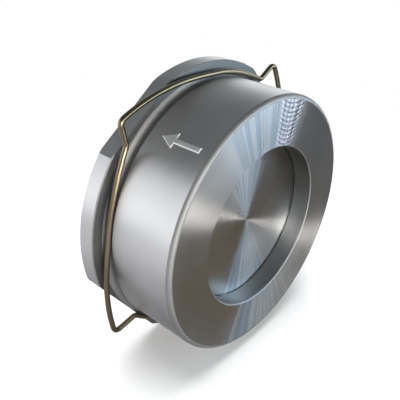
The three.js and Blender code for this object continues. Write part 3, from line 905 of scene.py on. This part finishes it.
def swept(path, section, frame_at, dome=0.0):
    """section: (across, up, facing across, facing up) points. frame_at(i): the two directions at point i."""
    skin = new_skin()
    stations = [(i, 1.0, 0.0) for i in range(len(path))]
    if dome:
        stations = [(0, left, -dome * share) for share, left in DOME[::-1]] + stations
        stations += [(len(path) - 1, left, dome * share) for share, left in DOME]
    rows = []
    for i, left, shift in stations:
        across, up = frame_at(i)
        along = across.cross(up)
        tilt = along * math.copysign((shift / dome) ** 2 * DOME_TILT, shift) if shift else Vector()
        places = [path[i] + (across * a + up * b) * left + along * shift for a, b, _, _ in section]
        facings = [(across * a + up * b).normalized() + tilt for _, _, a, b in section]
        rows.append((add_points(skin, places), facings, along))
    for (low, low_facings, _), (high, high_facings, _) in zip(rows, rows[1:]):
        for s in range(len(section)):
            t = (s + 1) % len(section)
            normals = [low_facings[s], low_facings[t], high_facings[t], high_facings[s]]
            add_face(skin, [low[s], low[t], high[t], high[s]], normals)
    first, _, along = rows[0]
    add_face(skin, first[::-1], [-along] * len(section))
    last, _, along = rows[-1]
    add_face(skin, last, [along] * len(section))
    return skin


def round_section(radius, sides):
    angles = even_steps(0, 2 * math.pi, sides)[:-1]
    return [(radius * math.cos(a), radius * math.sin(a), math.cos(a), math.sin(a)) for a in angles]


print("a round wire's section has", len(round_section(1, 14)), "sides")

# %% [markdown]
# The closing spring has one close turn at each end, where it lies on the cup and on the spider, and even
# open turns between them.

# %% Closing spring
SPRING_TURNS, SPRING_FRONT, SPRING_REAR, CLOSE_PITCH = 5.5, 22.0, 48.1, 2.4
SPRING_R, SPRING_WIRE_R, SPRING_STEPS = 18, 0.9, 264


def spring_point(turns):
    open_turns = SPRING_TURNS - 2
    open_rise = SPRING_REAR - SPRING_FRONT - 2 * CLOSE_PITCH
    y = SPRING_FRONT + min(turns, 1) * CLOSE_PITCH
    y += min(max((turns - 1) / open_turns, 0), 1) * open_rise + max(turns - 1 - open_turns, 0) * CLOSE_PITCH
    return on_clock(SPRING_R, 360 * turns, y)


def spring_frame(i):
    along = heading_at(spring_path, i)
    outward = Vector((spring_path[i].x, 0, spring_path[i].z)).normalized()
    outward = (outward - along * outward.dot(along)).normalized()
    return outward, along.cross(outward)


spring_path = [spring_point(turns) for turns in even_steps(0, SPRING_TURNS, SPRING_STEPS)]
spring_skin = swept(spring_path, round_section(SPRING_WIRE_R, 14), spring_frame, dome=0.25)
closing_spring = make_piece("closing_spring", spring_skin, [spring_wire_steel], "base")
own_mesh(closing_spring)

# %% [markdown]
# The centring ring is one open ring of spring wire in the body's groove, bent outward at four places. From
# each tip a long leg comes down to the groove, and a short steep leg goes up to the next tip. The bolts of
# the pipe flanges touch these tips. The numbers are read off the picture, kink by kink. Angles are in
# degrees on the clock and distances in mm.

# %% The centring ring's bends
RING_Y, RING_R, WIRE_R, BEND_R = 45.3, 80.2, 1.6, 3.8
RING_START, RING_END, RING_STEP = -236, 116, 1.25
Kink = namedtuple("Kink", "angle tip lift long_leg steep_leg foot_rise rise_reach")
KINKS = [
    Kink(-209, 98.7, 0.0, 42, 4.6, 3.9, 30),
    Kink(-123.5, 98.7, 0.592, 42, 4.6, 3.9, 30),
    Kink(-41.1, 99.995, 2.701, 45, 4.6, 6.9, 30),
    Kink(40.6, 98.7, 0.0, 43, 3.7, 1.8, 18),
]


def ring_radius(angle, last, coming):
    """The wire's distance from the axis, between the kink behind it and the kink that is coming."""
    radius = RING_R
    if last:
        left = max(0, 1 - (angle - last.angle) / last.long_leg) ** 1.6
        radius = (RING_R + last.lift) * (1 - left) + last.tip * left
    if coming:
        foot = coming.angle - coming.steep_leg
        radius += coming.foot_rise * max(0, 1 - (foot - angle) / coming.rise_reach) ** 2
    return radius


def ring_point(angle, last, coming):
    return on_clock(ring_radius(angle, last, coming), angle, RING_Y)


def bent_corner(before, corner, after, steps=10):
    """The round bend of the wire at a corner of its path."""
    back, onward = (before - corner).normalized(), (after - corner).normalized()
    half = back.angle(onward) / 2
    centre = corner + (back + onward).normalized() * (BEND_R / math.sin(half))
    start = corner + back * (BEND_R / math.tan(half)) - centre
    end = corner + onward * (BEND_R / math.tan(half)) - centre
    return [centre + start.slerp(end, share) * BEND_R for share in even_steps(0, 1, steps)]


print("the wire's path turns at", [kink.angle for kink in KINKS], "degrees")

# %% [markdown]
# The path is laid kink by kink: along the groove, round the foot, up the steep leg, round the tip, and on
# down the long leg. The points stop three steps short of a foot, to leave room for its bend.

# %% The centring ring
ring_path, last, angle = [], None, RING_START
for kink in KINKS:
    foot_angle = kink.angle - kink.steep_leg
    steps = max(1, round((foot_angle - angle) / RING_STEP))
    ring_path += [ring_point(a, last, kink) for a in even_steps(angle, foot_angle, steps)[:-3]]
    foot = ring_point(foot_angle, last, kink)
    tip = on_clock(kink.tip, kink.angle, RING_Y)
    angle = kink.angle + 3 * RING_STEP
    ring_path += bent_corner(ring_path[-1], foot, tip)
    ring_path += bent_corner(ring_path[-1], tip, ring_point(angle, kink, None))
    last = kink
steps = round((RING_END - angle) / RING_STEP)
ring_path += [ring_point(a, last, None) for a in even_steps(angle, RING_END, steps)]


def ring_frame(i):
    flow = Vector((0, 1, 0))
    return flow, heading_at(ring_path, i).cross(flow)


ring_wire_skin = swept(ring_path, round_section(WIRE_R, 20), ring_frame)
centring_ring = make_piece("centring_ring", ring_wire_skin, [tan_wire], "ring")
length = sum((b - a).length for a, b in zip(ring_path, ring_path[1:]))
print("the centring ring takes", round(length), "mm of wire in", len(ring_path), "points")

# %% [markdown]
# ## The spider plate
# The spider is cut from plate: a hub and four arms that rest on the body's lugs. Where an arm meets the hub
# the corner is rounded, because a sharp inner corner would crack. An eighth of the outline is drawn,
# mirrored and turned three times, so that all four arms are the same.

# %% Guide spider
ARM_HALF, ARM_END, HUB_R, FILLET, HUB_HOLE_R = 6.5, 67.8, 20.5, 3.0, 10.3


def spider_outline():
    end_angles = even_steps(0, math.asin(ARM_HALF / ARM_END), 6)
    eighth = [(ARM_END * math.sin(a), ARM_END * math.cos(a)) for a in end_angles]
    centre_side = ARM_HALF + FILLET
    centre_out = math.sqrt((HUB_R + FILLET) ** 2 - centre_side**2)
    hub_angle = math.atan2(centre_side, centre_out)
    bend_angles = even_steps(0, math.pi / 2 - hub_angle, 5)
    eighth += [(centre_side - FILLET * math.cos(a), centre_out - FILLET * math.sin(a)) for a in bend_angles]
    hub_angles = even_steps(hub_angle, math.pi / 4, 4)[1:]
    eighth += [(HUB_R * math.sin(a), HUB_R * math.cos(a)) for a in hub_angles]
    quarter = eighth + [(z, x) for x, z in eighth[-2::-1]]
    points = []
    for turn in even_steps(0, 2 * math.pi, 4)[:-1]:
        cos, sin = math.cos(turn), math.sin(turn)
        points += [(x * cos + z * sin, -x * sin + z * cos) for x, z in quarter[:-1]]
    return points


spider_holes = [circle(0, 0, HUB_HOLE_R, 96)] + [screw_hole(degrees) for degrees in LUG_ANGLES]
spider_skin = slab([spider_outline(), *spider_holes], 49.3, 53.3, 0.3)
make_piece("guide_spider", spider_skin, [satin_plate], "base")

# %% [markdown]
# ## Screws and rings
# Four low-head socket screws hold the spider. The lathe makes the outside. The socket is made of four rows
# of points, each joined to the next: the round mouth, the hexagon's top, its floor, and the middle of the
# floor.

# %% Screws
MOUTH_R, HEXAGON_R = 2.2, 1.75
screw_columns = even_steps(0, 360, 60)[:-1]
screw_outline = [
    (0, 42.1), (2.5, 42.1, 0.5), (2.5, 55.1, 0.1), (4.25, 55.1, 0.15), (4.25, 58.6, 0.5), (MOUTH_R, 58.6)]


def hexagon(degrees):
    """The distance from a hexagon's middle to its side, at an angle."""
    off = (degrees + 30) % 60 - 30
    return HEXAGON_R * math.cos(math.radians(30)) / math.cos(math.radians(off))


hexagon_radii = [hexagon(column) for column in screw_columns]
socket_rows = [([MOUTH_R] * 60, 58.6), (hexagon_radii, 58.55), (hexagon_radii, 56.6), ([0] * 60, 56.4)]
for i, degrees in enumerate(LUG_ANGLES):
    spot = on_clock(SCREW_CIRCLE_R, degrees, 0)
    shank = turned(screw_outline, 60, shift=spot, closed=False, steps=4)
    socket = new_skin()
    rows = [
        add_points(socket, [on_clock(r, column, y) + spot for r, column in zip(radii, screw_columns)])
        for radii, y in socket_rows]
    for low, high in zip(rows, rows[1:]):
        bridge(socket, low, high)
    make_piece(f"spider_screw_{i + 1}", joined(shank, socket), [fastener_steel], "base")

# %% [markdown]
# Under each screw head lies a split spring washer, and a snap ring keeps the bush in its sleeve. All are
# bent from flat wire and left open, so they are swept along an open circle like the round wire.

# %% Split washers and the snap ring
RING_COLUMNS = 72


def flat_section(width, thickness, edge=0.15):
    """A flat wire's section, with rounded corners, as (across, up, facing across, facing up)."""
    points = []
    for k, (side, top) in enumerate(((1, 1), (-1, 1), (-1, -1), (1, -1))):
        across, up = side * (width / 2 - edge), top * (thickness / 2 - edge)
        for a in (math.pi / 2 * (k + s / 3) for s in range(4)):
            points.append((across + edge * math.cos(a), up + edge * math.sin(a), math.cos(a), math.sin(a)))
    return points


def open_ring(inner, outer, opening, front, rear, shift=Vector(), turn=0):
    """A flat wire bent round, with an opening at an angle, both in degrees on the clock."""
    angles = [a + turn for a in even_steps(opening / 2, 360 - opening / 2, RING_COLUMNS)]
    outwards = [on_clock(1, a, 0) for a in angles]
    middle = shift + Vector((0, (front + rear) / 2, 0))
    path = [outward * ((inner + outer) / 2) + middle for outward in outwards]
    forward = Vector((0, -1, 0))
    return swept(path, flat_section(outer - inner, rear - front), lambda i: (outwards[i], forward))


for i, degrees in enumerate(LUG_ANGLES):
    washer = open_ring(2.8, 4.4, 24, 53.6, 54.8, on_clock(SCREW_CIRCLE_R, degrees, 0), degrees)
    make_piece(f"spider_lock_washer_{i + 1}", washer, [fastener_steel], "base")
snap_ring = open_ring(6.6, 8.6, 40, 54.7, 55.7)
make_piece("bush_retaining_ring", snap_ring, [spring_wire_steel], "base")

# %% [markdown]
# ## Studio
# The valve stands on a pale floor, at the lowest point of its flange and its wire. Near the valve the floor
# is plain matt grey-white and takes its shadow. Farther out it fades to pure white, but only for what looks
# at it: the camera and mirror-like rays. So it looks endless and sheds no extra light on the valve.

# %% Floor
def flat_square(name, half, height):
    mesh = bpy.data.meshes.new(name)
    corners = [(-half, -half, 0), (half, -half, 0), (half, half, 0), (-half, half, 0)]
    mesh.from_pydata(corners, [], [(0, 1, 2, 3)])
    plate = add_object(name, mesh)
    plate.location = (0, 0, height)
    return plate


pale, tree, shader = new_material("pale_floor")
tree.nodes.remove(shader)
matt = add_node(tree, "ShaderNodeBsdfDiffuse", (0.86, 0.86, 0.86, 1)).outputs[0]
white = add_node(tree, "ShaderNodeEmission", (1, 1, 1, 1), 1).outputs[0]
far = map_range(tree, vector_node(tree, "LENGTH", object_place(tree)), 0.1, 0.45, smooth=True)
ray = add_node(tree, "ShaderNodeLightPath").outputs
looking = math_node(tree, "MAXIMUM", ray["Is Camera Ray"], ray["Is Glossy Ray"])
looking = math_node(tree, "MAXIMUM", looking, ray["Is Transmission Ray"])
mixed = add_node(tree, "ShaderNodeMixShader", math_node(tree, "MULTIPLY", far, looking), matt, white)
fill(tree.nodes["Material Output"], {"Surface": mixed.outputs[0]})
lay_out(tree, pale.name)

pieces = (valve_body, centring_ring)
lowest = min((piece.matrix_world @ point.co).z for piece in pieces for point in piece.data.vertices)
floor = flat_square("floor", 4, lowest - 0.0003)
floor.data.materials.append(pale)
floor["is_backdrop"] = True
print("the floor is", round(PER_METRE * floor.location.z, 1), "mm below the flow axis")

# %% [markdown]
# Polished steel is a mirror, so what matters most is what stands round it. The room is pale at the horizon
# and darker above, and dimmer in front of the valve, so that the inlet face shows the lamps and not the
# room.

# %% World
world = bpy.data.worlds.new("room")
scene.world = world
world.use_nodes = True
tree = world.node_tree
direction = add_node(tree, "ShaderNodeTexCoord").outputs["Generated"]
_, y, z = parts_of(tree, direction)
tones = [
    (position, (v * (0.93 + 0.07 * v), v, v * (1.03 - 0.03 * v)))
    for position, v in ((0.54, 1.0), (0.67, 0.55), (0.78, 0.24), (0.9, 0.17))]
sky = colour_ramp(tree, map_range(tree, z, -1, 1), (0, (1, 1, 1)), *tones, (1, (0.155, 0.175, 0.18)))
strength = map_range(tree, y, -0.8, -0.2, 0.4, 1, smooth=True)
fill(tree.nodes["Background"], {"Color": sky, "Strength": strength})
lay_out(tree, world.name)

# %% [markdown]
# Each lamp is a soft rectangle aimed at the middle of the inlet face. On the turned faces a lamp shows as a
# wedge: the cool window on the right draws the bluish one and the warm lamp on the left the yellowish one.
# The large lamp on top only fills the shadows, so it is kept out of the reflections.

# %% Lamps
LAMPS = [
    # name, place, width, height, tint, watts
    ("top_softbox", (0.0, 0.1, 1.3), 1.1, 1.1, (1, 1, 1), 26),
    ("window", (0.665, -0.65, 0.13), 0.72, 0.36, (0.66, 0.83, 0.98), 5.1),
    ("warm_lamp", (-0.36, -0.8, 0.1), 0.26, 0.26, (1.0, 0.93, 0.86), 7.8),
    ("front_fill", (0.15, -0.92, 0.12), 0.6, 0.25, (0.92, 0.97, 1.0), 2.5),
    ("back_left_softbox", (-0.8, 0.65, 0.3), 0.6, 0.8, (0.98, 0.98, 1.0), 2.0),
    ("back_right_softbox", (0.85, 0.52, 0.12), 0.4, 0.4, (0.97, 0.98, 1.0), 0.4),
]
inlet_centre = Vector()
for name, place, width, height, tint, watts in LAMPS:
    light = bpy.data.lights.new(name, "AREA")
    light.shape = "RECTANGLE"
    light.size, light.size_y = width, height
    light.color, light.energy = tint, watts
    lamp = add_object(name, light)
    lamp.location = place
    face_along(lamp, inlet_centre - lamp.location)
    lamp.visible_camera = False
    lamp.visible_glossy = name != "top_softbox"

# %% [markdown]
# In the picture the lower half of the turned faces mirrors a dark bench. A dark floor would spoil the pale
# ground, so the bench is a card just above the floor that only mirror-like rays can see. It is dark in
# front of the valve, where its tone runs from warm wood to grey, and pale behind it.

# %% The bench that the steel mirrors
dark_bench, tree, shader = new_material("dark_bench")
tree.nodes.remove(shader)
place = object_place(tree)
x, y, _ = parts_of(tree, place)
slanted = math_node(tree, "SUBTRACT", y, math_node(tree, "MULTIPLY", x, 1.5))
behind = map_range(tree, slanted, -0.05, 0.08, smooth=True)
distance = vector_node(tree, "LENGTH", place)
# Close to the valve the pale part falls to grey: painted shade, the floor's shadow round the valve as the
# steel would mirror it.
greys = [
    (position, (v, v, v * 1.02))
    for position, v in ((0.08, 0.28), (0.12, 0.38), (0.18, 0.58), (0.32, 0.9))]
pale_with_painted_shade = colour_ramp(tree, distance, (0, (0.28, 0.28, 0.28)), *greys, (1, (1, 1, 1)))
wood = colour_ramp(tree, distance, (0.1, (0.2, 0.165, 0.12)), (0.26, (0.19, 0.195, 0.2)))
glow = add_node(tree, "ShaderNodeEmission", blend_colours(tree, behind, wood, pale_with_painted_shade))
fill(tree.nodes["Material Output"], {"Surface": glow.outputs[0]})
lay_out(tree, dark_bench.name)

bench = flat_square("bench", 1.5, lowest + 0.0005)
bench.data.materials.append(dark_bench)
bench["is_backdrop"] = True
bench.visible_camera = bench.visible_diffuse = bench.visible_shadow = bench.visible_transmission = False
print("mirror-like rays see the bench:", bench.visible_glossy)

# %% [markdown]
# ## Finish
# The dressed valve must fill the same box as the engineering model, so its box is written down.

# %% Sizes, and the last line
low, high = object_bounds()
print("the dressed valve's box in mm:", size_in_mm(low, high))
